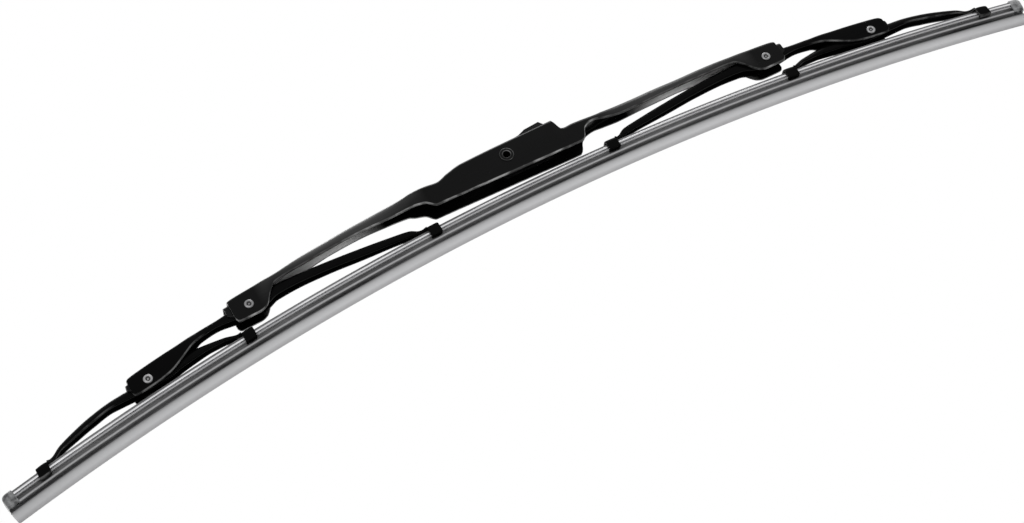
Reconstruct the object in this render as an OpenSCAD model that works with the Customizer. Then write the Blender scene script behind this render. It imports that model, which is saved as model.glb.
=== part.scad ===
// Wiper blade with a stamped bridge, four stamped levers and a bowed rubber squeegee.
// Millimetres. X runs along the blade, Z points away from the glass, Y is the width.
// The origin is the middle of the cross pin, on its axis.

/* [Blade] */
// Length of the squeegee along its chord
blade_len = 500; // [470:5:600]
// Radius of the bow that the free squeegee keeps
bow_r = 1250; // [1000:50:2500]
// Height of the cross pin's axis above the spring strips at mid-span
pin_h = 15.4; // [15:0.1:18]

/* [Squeegee] */
// Width of the head that carries the spring strips
head_w = 4.8; // [4.2:0.1:5.4]
// Height of the head above the strip slots
head_h = 1.4; // [1:0.1:1.8]
// Width of the web between the two strip slots
slot_web_w = 2; // [1.4:0.1:2.4]
// Thickness of the rib under the strips
rib_t = 0.7; // [0.5:0.1:0.9]
// Height of the groove that the claws reach into
groove_h = 1.9; // [1.2:0.1:2.4]
// Width of the rubber left between the claw grooves
groove_web_w = 2.4; // [1.8:0.1:2.8]
// Width of the shoulder above the hinge
shoulder_w = 6; // [5:0.1:6.4]
// Height of the shoulder
shoulder_h = 1.2; // [1:0.1:1.6]
// Height of the thin hinge
hinge_h = 0.8; // [0.6:0.1:1.2]
// Thickness of the thin hinge
hinge_t = 1; // [0.7:0.1:1.4]
// Width of the wedge at its shoulders
wedge_w = 4; // [3:0.1:5]
// Height of the wedge, from the hinge to the wiping edge
wedge_h = 5.2; // [4.5:0.1:7]
// Width of the wiping edge
edge_w = 0.7; // [0.5:0.1:1]

/* [Spring strips] */
// Thickness of a strip
strip_t = 0.9; // [0.7:0.05:1]
// Width of a strip
strip_w = 2.4; // [2:0.1:2.8]
// Play between a strip and its slot
strip_play = 0.05; // [0.02:0.01:0.1]

/* [End stops] */
// Length of the moulded stop at each end of the squeegee
stop_len = 5; // [3:0.5:8]
// Height of the stop above the squeegee's head
stop_over = 0.3; // [0:0.1:1]
// Radius of the stop's outer corner
stop_r = 2.4; // [1:0.1:2.6]

/* [Lever layout] */
// Distance of the last claw from the end of the squeegee
tip_inset = 18.9; // [16:0.1:30]
// Distance between the two claws of an outer lever
outer_span = 96.6; // [90:0.5:110]
// Distance of the outer lever's rivet from its outer claw
outer_pivot = 52.2; // [48:0.1:56]
// Distance between the two rivets of an inner lever
inner_reach = 50.4; // [46:0.1:54]
// Distance between the two claws nearest to the middle
mid_span = 88.6; // [80:0.2:100]
// Height of the outer rivets above the strips
outer_rivet_h = 7.2; // [7:0.1:8.5]
// Height of the bridge's rivets above the strips
inner_rivet_h = 11.6; // [11.4:0.1:13]

/* [Sheet steel] */
// Thickness of the bridge's sheet
bridge_t = 1; // [0.8:0.05:1.2]
// Thickness of the levers' sheet
lever_t = 0.9; // [0.7:0.05:1]
// Outer radius of the bends along the top
bend_r = 1.8; // [1.3:0.1:2]
// Width of the bridge at the hub
hub_w = 13; // [11:0.1:14]
// Width of the bridge's arms at their waist
arm_w = 6.2; // [5.8:0.1:7]
// Depth of the bridge's arm flanges
arm_deep = 3.8; // [3:0.1:4.2]
// Width of the inner levers where the bridge straddles them
inner_w = 6.2; // [5.8:0.1:6.8]
// Width of the outer levers where the inner levers straddle them
outer_w = 6; // [5.6:0.1:6.4]

/* [Claws] */
// Length of a claw along the squeegee
claw_len = 5.2; // [4:0.1:8]
// Side play between a claw and the strips
claw_play = 0.15; // [0.1:0.05:0.4]
// Thickness of a claw's jaw under the strips
jaw_t = 0.8; // [0.6:0.05:0.9]
// Height of the claw's roof above the squeegee's head
claw_over = 0.3; // [0.2:0.05:0.8]

/* [Pivots] */
// Radius of the rivets' shanks
rivet_r = 1.6; // [1.2:0.05:1.8]
// Radius of the rivets' rolled heads
rivet_head_r = 2.1; // [2:0.05:2.8]
// Height of the rivets' rolled heads
rivet_head_h = 0.6; // [0.4:0.05:0.8]
// Running clearance of each pivot on its shank
pivot_play = 0.05; // [0.02:0.01:0.09]
// Wall of the plastic pivot liners
liner_t = 0.6; // [0.4:0.05:0.8]
// Side play between a liner and the lever inside it
liner_play = 0.1; // [0.05:0.01:0.2]
// Length of a liner past the end of the plates that hold it
liner_out = 2.4; // [2:0.1:5]

/* [Hub] */
// Outer radius of the tubular cross pin
pin_r = 2.4; // [2.2:0.05:2.8]
// Bore radius of the cross pin
pin_bore_r = 1.6; // [1.2:0.05:1.8]
// Radius of the cross pin's rolled rim
pin_rim_r = 3.2; // [2.9:0.05:3.6]
// Height of the cross pin's rolled rim
pin_rim_h = 0.6; // [0.4:0.05:0.8]
// Height of the hub's side walls above the pin
hub_up = 6.6; // [6:0.1:8]
// Depth of the hub's side walls below the pin
hub_down = 8.5; // [7:0.1:9]
// Distance from the pin to where the left arm starts
hub_left = 42; // [40:0.5:46]
// Distance from the pin to where the right arm starts
hub_right = 41; // [40:0.5:46]
// Left end of the opening for the wiper arm's hook
window_left = 19; // [17:0.5:21]
// Right end of the opening for the wiper arm's hook
window_right = 27; // [26.5:0.5:29]

/* [Arm adapter] */
// Radius of the adapter's nose, which the hook bends around
nose_r = 4.6; // [4:0.1:5.2]
// Width of the channel that the hook lies in
hook_w = 6.8; // [6:0.1:7.4]
// Side play between the adapter and the hub's walls
adapter_play = 0.3; // [0.2:0.05:0.6]
// Length of the adapter from the pin to its tail
adapter_len = 22.5; // [20:0.5:24.5]
// Height of the adapter's grip ridges above the pin
grip_up = 8.6; // [7:0.1:9.5]

/* [Hidden] */

round_fn = 64;          // faces of the round holes, pins and rims
bow_fn = 1440;          // faces of the full bow, of which the blade takes a short arc
bend_steps = 2;         // straight steps in each bend along a channel
row_steps = 2;          // sections lofted between two rows of a lever's outline
hem_w = 0.06;           // width and height of the burr that edges a plain flange
hem_h = 0.1;
eps = 0.01;             // overlap of tools that only cut

half_len = blade_len / 2;
x_tip = half_len - tip_inset;
x_outer_in = x_tip - outer_span;
x_outer_rivet = x_tip - outer_pivot;
x_inner_rivet = x_outer_rivet - inner_reach;
x_inner_in = mid_span / 2;

// Height of the strips' middle at x, and the slope of the bow there
function strip_z(x) = sqrt(bow_r * bow_r - x * x) - bow_r - pin_h;
function bow_angle(x) = asin(x / bow_r);

z_inner = strip_z(x_inner_rivet) + inner_rivet_h;
z_outer = strip_z(x_outer_rivet) + outer_rivet_h;

// Heights across the squeegee's section, counted from the strips' middle
slot_half = strip_t / 2 + strip_play;
head_top = slot_half + head_h;
rib_low = -slot_half - rib_t;
groove_low = rib_low - groove_h;
shoulder_low = groove_low - shoulder_h;
hinge_low = shoulder_low - hinge_h;
lip_low = hinge_low - wedge_h;
strip_out = slot_web_w / 2 + strip_play + strip_w;

// Widths that follow from what nests in what
liner_in_inner = inner_w / 2 + liner_play;
liner_out_inner = liner_in_inner + liner_t;
plate_inner = liner_out_inner + bridge_t;
liner_in_outer = outer_w / 2 + liner_play;
liner_out_outer = liner_in_outer + liner_t;
plate_outer = liner_out_outer + lever_t;
claw_in = strip_out + claw_play;
claw_out = claw_in + lever_t;
jaw_in = (groove_web_w / 2 + strip_out) / 2 - 0.5;
jaw_high = rib_low - (groove_h - jaw_t) / 2;
roof_low = head_top + claw_over;
roof_high = roof_low + lever_t;

// Ends of the plates that straddle each rivet
plate_end_inner = x_inner_rivet + 7.7;
plate_end_outer = x_outer_rivet + 8;

// Smooth run through keyed rows: column c of rows k at x, with no overshoot between rows
function secant(k, c, i) = (k[i + 1][c] - k[i][c]) / (k[i + 1][0] - k[i][0]);
function even(a, b) = a * b <= 0 ? 0 : 2 * a * b / (a + b);
function slope(k, c, i) =
    i == 0 ? secant(k, c, 0) :
    i == len(k) - 1 ? secant(k, c, i - 1) :
    even(secant(k, c, i - 1), secant(k, c, i));
function blend(k, c, i, t) =
    let (d = k[i + 1][0] - k[i][0])
    k[i][c] * (2 * t * t * t - 3 * t * t + 1) + slope(k, c, i) * d * (t * t * t - 2 * t * t + t)
    + k[i + 1][c] * (3 * t * t - 2 * t * t * t) + slope(k, c, i + 1) * d * (t * t * t - t * t);
function row_at(k, x, i = 0) = i >= len(k) - 2 || x < k[i + 1][0] ? i : row_at(k, x, i + 1);
function keyed(k, c, x) =
    let (i = row_at(k, x))
    blend(k, c, i, (x - k[i][0]) / (k[i + 1][0] - k[i][0]));
function mix(a, b, t) = a + (b - a) * t;

// Section of a folded channel: outer outline up and over, then the inner one back. Its lower
// edges turn in by a hair, or all the way to the claw's jaws where jaw is 1.
function bend(cy, cz, r, a0, a1) =
    [for (i = [0 : bend_steps]) let (a = mix(a0, a1, i / bend_steps)) [cy + r * cos(a), cz + r * sin(a)]];
function u_section(half, top, low, t, jaw) =
    let (r = min(bend_r, top - low - hem_h - 0.1), ri = max(hem_h, r - t),
         cy = half - t - ri, cz = top - t - ri,
         tip = mix(half - t - hem_w, jaw_in, jaw), lip = low + mix(hem_h, jaw_t, jaw))
    concat([[-tip, low], [-half, low]],
           bend(r - half, top - r, r, 180, 90),
           bend(half - r, top - r, r, 90, 0),
           [[half, low], [tip, low], [tip, lip], [half - t, lip]],
           bend(cy, cz, ri, 0, 90),
           bend(-cy, cz, ri, 90, 180),
           [[t - half, lip], [-tip, lip]]);

// Channel of folded sheet, lofted through rows of [x, half width, top, lower edge, jaw]
module channel(rows, t) {
    last = len(rows) - 1;
    xs = concat([for (i = [0 : last - 1]) for (j = [0 : row_steps - 1])
                    mix(rows[i][0], rows[i + 1][0], j / row_steps)],
                [rows[last][0]]);
    rings = [for (x = xs)
        let (half = keyed(rows, 1, x), top = keyed(rows, 2, x),
             low = keyed(rows, 3, x), jaw = keyed(rows, 4, x))
        [for (p = u_section(half, top, low, t, jaw)) [x, p[0], p[1]]]];
    n = len(rings[0]);
    m = len(rings);
    half_n = n / 2;
    skin = [for (i = [0 : m - 2]) for (j = [0 : n - 1]) for (f = [0, 1])
        let (a = i * n + j, b = i * n + (j + 1) % n)
        f == 0 ? [a, b, b + n] : [a, b + n, a + n]];
    near_cap = [for (j = [0 : half_n - 2]) for (f = [0, 1])
        f == 0 ? [n - 1 - j, j + 1, j] : [n - 1 - j, n - 2 - j, j + 1]];
    far_cap = [for (tri = near_cap) [for (v = [2, 1, 0]) tri[v] + (m - 1) * n]];
    polyhedron([for (r = rings) for (p = r) p], concat(skin, near_cap, far_cap), convexity = 6);
}

// Revolved run of a section along the bow between two places; the section is [height, y]
module bowed(x0, x1, section) {
    translate([0, 0, -pin_h - bow_r])
        rotate([90, 0, 0])
            rotate([0, 0, 90 - bow_angle(x1)])
                rotate_extrude(angle = bow_angle(x1) - bow_angle(x0), $fn = bow_fn)
                    polygon([for (p = section) [bow_r + p[0], p[1]]]);
}

// Moves its children onto the strips at x, leaning with the bow
module on_bow(x) {
    translate([x, 0, strip_z(x)])
        rotate([0, bow_angle(x), 0])
            children();
}

// Round bar or hole across the blade at x, z
module across(x, z, r, reach) {
    translate([x, 0, z])
        rotate([90, 0, 0])
            cylinder(h = 2 * reach, r = r, center = true, $fn = round_fn);
}

module mirrored(left) {
    if (left) mirror([1, 0, 0]) children();
    else children();
}

// Rows of a claw about x, and of the neck that flares out of it on the side that dir names
function claw_row(x, drop, low, jaw) = [x, claw_out, strip_z(x) + roof_high - drop, strip_z(x) + low, jaw];
jaw_low = jaw_high - jaw_t;
claw_ease = 0.15;
row_gap = 0.03;
function claw_rows(x) = let (e = claw_len / 2) [
    claw_row(x - e, claw_ease, jaw_low + claw_ease, 1), claw_row(x - e + 0.5, 0, jaw_low, 1),
    claw_row(x + e - 0.5, 0, jaw_low, 1), claw_row(x + e, claw_ease, jaw_low + claw_ease, 1)];
function neck_rows(x, dir, half, rise) = let (e = x + dir * claw_len / 2, d = dir * row_gap, z = strip_z(e)) [
    claw_row(e + d, 0, jaw_low + claw_ease, 0), claw_row(e + 2 * d, 0, roof_low, 0),
    [e + dir * 1.4, mix(claw_out, half, 0.7), z + roof_high + 0.4 * rise, z + roof_low + 0.1, 0],
    [e + dir * 3, half, z + roof_high + rise, z + roof_low + 0.7, 0]];

// Rows of an outline are [x, half width, top, lower edge, jaw], with x rising
function flipped(rows) =
    [for (i = [len(rows) - 1 : -1 : 0]) let (r = rows[i]) [-r[0], r[1], r[2], r[3], r[4]]];
function backwards(rows) = [for (i = [len(rows) - 1 : -1 : 0]) rows[i]];
function plain(rows) = [for (r = rows) [r[0], r[1], r[2], r[3], 0]];

// End plates of the bridge, around each inner rivet
plate_low = z_inner - 5.4;
arm_end_x = x_inner_rivet - 14.5;
arm_end_top = z_inner + 8.3;
plate_rows = plain([
    [arm_end_x, plate_inner, arm_end_top, arm_end_top - arm_deep],
    [x_inner_rivet - 10.5, plate_inner, z_inner + 8, plate_low + 6.6],
    [x_inner_rivet - 8.3, plate_inner, z_inner + 7.8, plate_low + 3.6],
    [x_inner_rivet - 5.8, plate_inner, z_inner + 7.5, plate_low + 1.1],
    [x_inner_rivet - 2.5, plate_inner, z_inner + 7.2, plate_low + 0.1],
    [plate_end_inner - 2, plate_inner, z_inner + 6.3, plate_low],
    [plate_end_inner - 0.7, plate_inner, z_inner + 6, plate_low + 0.4],
    [plate_end_inner, plate_inner, z_inner + 5.7, plate_low + 1.6]]);

// Arms between the hub and the end plates; s runs from 0 at the hub to 1 at the plates
arm_crown = 0.7;
left_arm = [hub_left, 4];
right_arm = [hub_right, 0.6];
function arm_row(from, s, half, extra) =
    let (top = mix(from[1], arm_end_top, s) + arm_crown * 4 * s * (1 - s))
    [mix(from[0], arm_end_x, s), half, top, top - arm_deep - extra, 0];
function arm_rows(from, deepening) = [
    arm_row(from, 0.1, 4.6, deepening[0]),
    arm_row(from, 0.22, arm_w / 2 + 0.4, deepening[1]),
    arm_row(from, 0.4, arm_w / 2, 0.5),
    arm_row(from, 0.6, arm_w / 2, 0),
    arm_row(from, 0.8, mix(arm_w / 2, plate_inner, 0.55), 0)];

// Hub with its deep side walls
hub_half = hub_w / 2;
hub_slope = 0.032;
function wall_low(x) = -hub_down - hub_slope * x;
hub_rows = plain([
    [-hub_left - 4, hub_half - 0.6, left_arm[1], -2.9],
    [-hub_left, hub_half - 0.2, left_arm[1], -4],
    [4 - hub_left, hub_half, left_arm[1] - 0.3, wall_low(4 - hub_left)],
    [9 - hub_left, hub_half, left_arm[1] - 0.9, wall_low(9 - hub_left)],
    [-window_left - 8, hub_half, hub_up - 1.8, wall_low(-window_left - 8)],
    [-window_left, hub_half, hub_up - 0.3, wall_low(-window_left)],
    [0, hub_half, hub_up, wall_low(0)],
    [window_right - 1.2, hub_half, hub_up, wall_low(window_right - 1.2)],
    [window_right + 0.6, hub_half, right_arm[1] + 0.7, wall_low(window_right + 0.6)],
    [window_right + 2.5, hub_half, right_arm[1] + 0.1, wall_low(window_right + 2.5)],
    [hub_right - 8, hub_half, right_arm[1] + 0.3, wall_low(hub_right - 8) + 0.1],
    [hub_right - 6.4, hub_half, right_arm[1] + 0.2, -8.4],
    [hub_right - 4, hub_half - 0.1, right_arm[1] + 0.1, -4.4],
    [hub_right - 0.5, hub_half - 0.5, right_arm[1], -2.4],
    [hub_right + 2.5, hub_half - 1, right_arm[1], -2.1]]);

bridge_rows = concat(flipped(plate_rows),
                     flipped(arm_rows(left_arm, [2.2, 1.6])), hub_rows,
                     arm_rows(right_arm, [-0.2, 0.8]), plate_rows);

module primary_bridge() {
    color("#141416")
        difference() {
            channel(bridge_rows, bridge_t);
            translate([-window_left, bridge_t - hub_half, -0.6])
                cube([window_left + window_right, hub_w - 2 * bridge_t, hub_up + 2]);
            across(0, 0, pin_r, hub_w);
            for (side = [-1, 1])
                across(side * x_inner_rivet, z_inner, rivet_r, hub_w);
        }
}

// Tubular pin across the hub, rolled outwards at both rims
module cross_pin() {
    half = hub_half + pin_rim_h;
    color("#2a2a2c")
        rotate([90, 0, 0])
            rotate_extrude($fn = round_fn)
                polygon([[pin_bore_r, -half + 0.3], [pin_bore_r + 0.5, -half], [pin_rim_r - 0.4, -half],
                         [pin_rim_r, -half + 0.35], [pin_rim_r, -hub_half], [pin_r, -hub_half],
                         [pin_r, hub_half], [pin_rim_r, hub_half], [pin_rim_r, half - 0.35],
                         [pin_rim_r - 0.4, half], [pin_bore_r + 0.5, half], [pin_bore_r, half - 0.3]]);
}

// Plastic adapter that the wiper arm's hook bends around
module arm_adapter() {
    half = hub_half - bridge_t - adapter_play;
    wall = half - hook_w / 2;
    floor_z = nose_r - 2.4;
    color("#1b1b1d")
        difference() {
            union() {
                across(0, 0, nose_r, half - wall + eps);
                translate([0, -half + wall - eps, -nose_r])
                    cube([adapter_len, hook_w + 2 * eps, nose_r + floor_z]);
                for (side = [-1, 1])
                    translate([0, side * (half - wall / 2), 0])
                        rotate([90, 0, 0])
                            linear_extrude(wall, center = true)
                                polygon([[-3.4, -3.4], [-1.8, -5], [adapter_len - 1.2, -5.4],
                                         [adapter_len, -4.2], [adapter_len, 6.4],
                                         [adapter_len - 1.6, grip_up],
                                         [adapter_len - 9, grip_up - 0.5], [adapter_len - 12.5, hub_up + 0.2],
                                         [-1.5, hub_up - 1], [-3.8, 3.6]]);
            }
            across(0, 0, pin_r + pivot_play, hub_w);
            // Slot that lets the nose snap over the pin, and the latch's slit
            translate([-nose_r - eps, -half, -0.55 * pin_r])
                cube([nose_r, 2 * half, 1.1 * pin_r]);
            translate([7, wall - half, -nose_r - eps])
                cube([adapter_len - 9, hook_w, nose_r + floor_z - 2]);
        }
}

// Inner lever: claw, slim arm, waist at the bridge's rivet, then plates at the outer rivet
inner_half = inner_w / 2;
slim = inner_half - 0.9;
neck_end = x_inner_in + claw_len / 2 + 3;
function along_arm(s) = mix(neck_end, x_inner_rivet, s);
// A station of the arm: its middle line rises evenly from the bow to the rivet
function lever_row(s, half, top, low) = let (x = along_arm(s), z = strip_z(x) + inner_rivet_h * s)
    [x, half, z + top, z + low];
inner_rows = concat(claw_rows(x_inner_in), neck_rows(x_inner_in, 1, slim, 1.1), plain([
    [along_arm(0.047), slim, strip_z(x_inner_in) + 5.7, strip_z(x_inner_in) + 3.8],
    lever_row(0.124, slim, 5.5, 3.7),
    lever_row(0.328, slim + 0.2, 5.7, 2.6),
    lever_row(0.533, slim + 0.4, 5.7, 2.4),
    lever_row(0.69, slim + 0.6, 5.6, 1.9),
    lever_row(0.834, inner_half, 5.2, 0.4),
    lever_row(0.911, inner_half, 4.6, -2.1),
    [x_inner_rivet, inner_half, z_inner + 3.5, z_inner - 3.1],
    [x_inner_rivet + 7, inner_half, z_inner + 2.4, z_inner - 2.6],
    [x_inner_rivet + 15, slim + 0.6, z_inner + 1.3, z_inner - 1.9],
    [x_outer_rivet - 27, slim + 0.7, z_outer + 11, z_outer + 7.6],
    [x_outer_rivet - 23.5, plate_outer - 0.8, z_outer + 10.2, z_outer + 6.3],
    [x_outer_rivet - 21, plate_outer - 0.2, z_outer + 9.6, z_outer + 4.9],
    [x_outer_rivet - 18, plate_outer, z_outer + 9, z_outer + 3.1],
    [x_outer_rivet - 9, plate_outer, z_outer + 7.7, z_outer - 1.5],
    [x_outer_rivet, plate_outer, z_outer + 6.2, z_outer - 3.5],
    [plate_end_outer - 1.6, plate_outer, z_outer + 4.9, z_outer - 4.2],
    [plate_end_outer - 0.5, plate_outer, z_outer + 4.4, z_outer - 3.9],
    [plate_end_outer, plate_outer, z_outer + 3.8, z_outer - 3.2]]));

module secondary_lever(left) {
    color("#161618")
        mirrored(left)
            difference() {
                channel(inner_rows, lever_t);
                across(x_inner_rivet, z_inner, rivet_r + pivot_play, hub_w);
                across(x_outer_rivet, z_outer, rivet_r, hub_w);
            }
}

// Outer lever: a low arch with a claw at each end
outer_half = outer_w / 2;
outer_slim = outer_half - 0.5;
function above(x, h) = strip_z(x) + h;
outer_rows = concat(claw_rows(x_outer_in), neck_rows(x_outer_in, 1, outer_slim, 1.3), plain([
    [x_outer_in + 9.5, outer_slim, above(x_outer_in + 9.5, 6.2), above(x_outer_in + 9.5, 4.2)],
    [x_outer_in + 15.5, outer_slim + 0.1, z_outer + 4.4, z_outer + 1.4],
    [x_outer_rivet - 21, outer_half - 0.2, z_outer + 4.8, z_outer + 0.3],
    [x_outer_rivet - 14, outer_half, z_outer + 4.6, z_outer - 1],
    [x_outer_rivet - 7, outer_half, z_outer + 3.6, z_outer - 2.9],
    [x_outer_rivet, outer_half, z_outer + 2.6, z_outer - 3.3],
    [x_outer_rivet + 7, outer_half, z_outer + 1.3, z_outer - 3.3],
    [x_outer_rivet + 17, outer_half - 0.1, z_outer + 0.2, z_outer - 3.4],
    [x_outer_rivet + 27, outer_half - 0.2, z_outer - 2, z_outer - 5.6],
    [x_tip - 17, outer_half - 0.3, above(x_tip - 17, 8.1), above(x_tip - 17, 4.8)],
    [x_tip - 9.5, outer_slim + 0.1, above(x_tip - 9.5, 6.3), above(x_tip - 9.5, 3.7)]]),
    backwards(neck_rows(x_tip, -1, outer_slim, 1.8)), claw_rows(x_tip));

module tertiary_lever(left) {
    color("#161618")
        mirrored(left)
            difference() {
                channel(outer_rows, lever_t);
                across(x_outer_rivet, z_outer, rivet_r + pivot_play, hub_w);
            }
}

// Rivet with both heads rolled into a ring around a dimple
module rivet(x, z, half, left) {
    h = rivet_head_h;
    head = [[0, half + 0.4 * h], [0.3 * rivet_head_r, half + 0.4 * h], [0.5 * rivet_head_r, half + 0.9 * h],
            [0.62 * rivet_head_r, half + h], [0.8 * rivet_head_r, half + h],
            [0.94 * rivet_head_r, half + 0.75 * h], [rivet_head_r, half + 0.35 * h],
            [rivet_head_r, half], [rivet_r, half]];
    color("#b9babd")
        mirrored(left)
            translate([x, 0, z])
                rotate([90, 0, 0])
                    rotate_extrude($fn = round_fn)
                        polygon(concat(head, [for (i = [len(head) - 1 : -1 : 0]) [head[i][0], -head[i][1]]]));
}

// Plastic saddle that lines the plates around a rivet, following the folded top above it
module liner(rows, t, x0, x1, x_in, z_in, half, left) {
    end = rows[len(rows) - 1];
    start_z = keyed(rows, 2, x0);
    function roof(x) = mix(start_z, end[2], (x - x0) / (end[0] - x0)) - t - liner_play;
    liner_rows = [for (i = [0 : 4]) let (x = mix(x0, x1, i / 4))
        [x, half, roof(x), z_in - (i == 4 ? 0.6 : 2.6), 0]];
    color("#0e0e10")
        mirrored(left)
            difference() {
                channel(liner_rows, liner_t);
                across(x_in, z_in, rivet_r, hub_w);
            }
}

module inner_liner(left) {
    liner(plate_rows, bridge_t, x_inner_rivet - 6, plate_end_inner + liner_out,
          x_inner_rivet, z_inner, liner_out_inner, left);
}

module outer_liner(left) {
    liner(inner_rows, lever_t, x_outer_rivet - 6, plate_end_outer + liner_out / 2,
          x_outer_rivet, z_outer, liner_out_outer, left);
}

// Rubber squeegee: head with strip slots, claw grooves, shoulder, hinge and wedge
function both(side) = concat(side, [for (i = [len(side) - 1 : -1 : 0]) [side[i][0], -side[i][1]]]);
head_side = [
    [head_top, head_w / 2 - 0.4], [head_top - 0.35, head_w / 2], [slot_half, head_w / 2],
    [slot_half, slot_web_w / 2], [-slot_half, slot_web_w / 2], [-slot_half, head_w / 2],
    [rib_low, head_w / 2 - 0.1], [rib_low, groove_web_w / 2], [groove_low, groove_web_w / 2],
    [groove_low, shoulder_w / 2 - 0.4], [groove_low - 0.4, shoulder_w / 2], [shoulder_low, shoulder_w / 2],
    [shoulder_low, hinge_t / 2]];
blade_side = [
    [shoulder_low, hinge_t / 2], [hinge_low, hinge_t / 2], [hinge_low - 0.5, wedge_w / 2],
    [hinge_low - 1.1, wedge_w / 2], [lip_low, edge_w / 2]];
stop_x = half_len - stop_len;

module squeegee() {
    color("#7d7f83")
        difference() {
            bowed(-half_len, half_len,
                  both(concat(head_side, [for (i = [1 : len(blade_side) - 1]) blade_side[i]])));
            for (ends = [[-half_len - 1, -stop_x], [stop_x, half_len + 1]])
                bowed(ends[0], ends[1], [[shoulder_low - eps, -hub_half], [shoulder_low - eps, hub_half],
                                         [head_top + 1, hub_half], [head_top + 1, -hub_half]]);
        }
}

// Spring strip, let into the slot on one side of the head
module spring_strip(side) {
    y0 = slot_web_w / 2 + strip_play;
    color("#d5d6d9")
        bowed(strip_play - stop_x, stop_x - strip_play,
              [[-strip_t / 2, -side * y0], [strip_t / 2, -side * y0],
               [strip_t / 2, -side * (y0 + strip_w)], [-strip_t / 2, -side * (y0 + strip_w)]]);
}

// Moulded stop that closes the head and holds the strips' ends
module end_stop(left) {
    half = strip_out;
    top = head_top + stop_over;
    color("#8c8f92")
        mirrored(left)
            difference() {
                bowed(stop_x, half_len,
                      both([[top, half - 0.9], [top - 0.9, half], [groove_low, half],
                            [shoulder_low, shoulder_w / 2]]));
                on_bow(half_len)
                    rotate([90, 0, 0])
                        linear_extrude(hub_w, center = true)
                            difference() {
                                translate([-stop_r, top - stop_r])
                                    square([stop_r + 1, stop_r + 1]);
                                translate([-stop_r, top - stop_r])
                                    circle(r = stop_r, $fn = round_fn);
                            }
            }
}

primary_bridge();
cross_pin();
arm_adapter();
secondary_lever(true);  // secondary_lever_left
secondary_lever(false);  // secondary_lever_right
tertiary_lever(true);  // tertiary_lever_left
tertiary_lever(false);  // tertiary_lever_right
rivet(x_inner_rivet, z_inner, plate_inner, true);  // inner_rivet_left
rivet(x_inner_rivet, z_inner, plate_inner, false);  // inner_rivet_right
rivet(x_outer_rivet, z_outer, plate_outer, true);  // outer_rivet_left
rivet(x_outer_rivet, z_outer, plate_outer, false);  // outer_rivet_right
inner_liner(true);  // inner_liner_left
inner_liner(false);  // inner_liner_right
outer_liner(true);  // outer_liner_left
outer_liner(false);  // outer_liner_right
squeegee();
spring_strip(-1);  // spring_strip_near
spring_strip(1);  // spring_strip_far
end_stop(true);  // end_stop_left
end_stop(false);  // end_stop_right
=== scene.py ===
import math

import bpy
import numpy as np
from mathutils import Matrix, Vector


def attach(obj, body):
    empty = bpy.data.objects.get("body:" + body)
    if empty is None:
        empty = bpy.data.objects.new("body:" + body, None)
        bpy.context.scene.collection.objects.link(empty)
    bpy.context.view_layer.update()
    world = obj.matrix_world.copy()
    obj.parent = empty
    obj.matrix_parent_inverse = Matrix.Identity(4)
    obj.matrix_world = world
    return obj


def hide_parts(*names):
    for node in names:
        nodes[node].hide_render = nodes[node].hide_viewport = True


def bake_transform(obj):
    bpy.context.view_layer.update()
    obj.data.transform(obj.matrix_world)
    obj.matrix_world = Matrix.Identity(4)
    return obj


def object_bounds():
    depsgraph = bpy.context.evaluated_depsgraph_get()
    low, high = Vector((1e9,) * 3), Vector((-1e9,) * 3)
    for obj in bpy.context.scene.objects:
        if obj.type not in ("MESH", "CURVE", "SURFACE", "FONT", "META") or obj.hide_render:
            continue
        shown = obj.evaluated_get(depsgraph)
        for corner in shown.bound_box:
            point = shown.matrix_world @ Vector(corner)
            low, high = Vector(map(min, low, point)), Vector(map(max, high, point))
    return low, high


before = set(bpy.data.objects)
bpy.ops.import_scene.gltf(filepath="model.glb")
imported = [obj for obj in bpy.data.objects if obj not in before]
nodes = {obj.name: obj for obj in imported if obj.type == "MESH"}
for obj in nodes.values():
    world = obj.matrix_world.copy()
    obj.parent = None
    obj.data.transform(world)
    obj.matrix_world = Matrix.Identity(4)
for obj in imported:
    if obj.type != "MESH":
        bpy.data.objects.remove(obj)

cadBox = [list(corner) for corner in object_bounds()]
scene = bpy.context.scene
print("stage 1: frame loaded,", len(nodes), "nodes")

# Sizes are in millimetres until a mesh is made, which is in metres
mm = 0.001
blade = {"halfLength": 250, "bowRadius": 1250, "pinHeight": 15.4}
pivots = {"tip": 231.1, "outerIn": 134.5, "outerRivet": 178.9, "innerRivet": 128.5, "innerIn": 44.3}
heights = {"outerRivet": 7.2, "innerRivet": 11.6}  # of the rivets over the strips' middle
bothSides = (("left", -1), ("right", 1))


# Height of the strips' middle: z = sqrt(R^2 - x^2) - R - pin height
def stripZ(x):
    return np.sqrt(blade["bowRadius"] ** 2 - np.square(x)) - blade["bowRadius"] - blade["pinHeight"]


zInner = float(stripZ(pivots["innerRivet"])) + heights["innerRivet"]
zOuter = float(stripZ(pivots["outerRivet"])) + heights["outerRivet"]

view = {"place": (-257.03, -720.97, -369.37), "right": (0.86000849, -0.05014142, -0.50781024),
        "up": (0.42381309, -0.48406093, 0.76555044), "lens": 69.05, "sensor": 36, "clip": (0.01, 20)}


# The camera's axes are right, up and their cross product, and it looks against the third
def makeCamera():
    data = bpy.data.cameras.new("camera")
    data.lens, data.sensor_width = view["lens"], view["sensor"]
    data.clip_start, data.clip_end = view["clip"]
    camera = bpy.data.objects.new("camera", data)
    scene.collection.objects.link(camera)
    right, up = Vector(view["right"]), Vector(view["up"])
    turn = Matrix((right, up, right.cross(up))).transposed().to_4x4()
    camera.matrix_world = Matrix.Translation(Vector(view["place"]) * mm) @ turn
    scene.camera = camera


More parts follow.
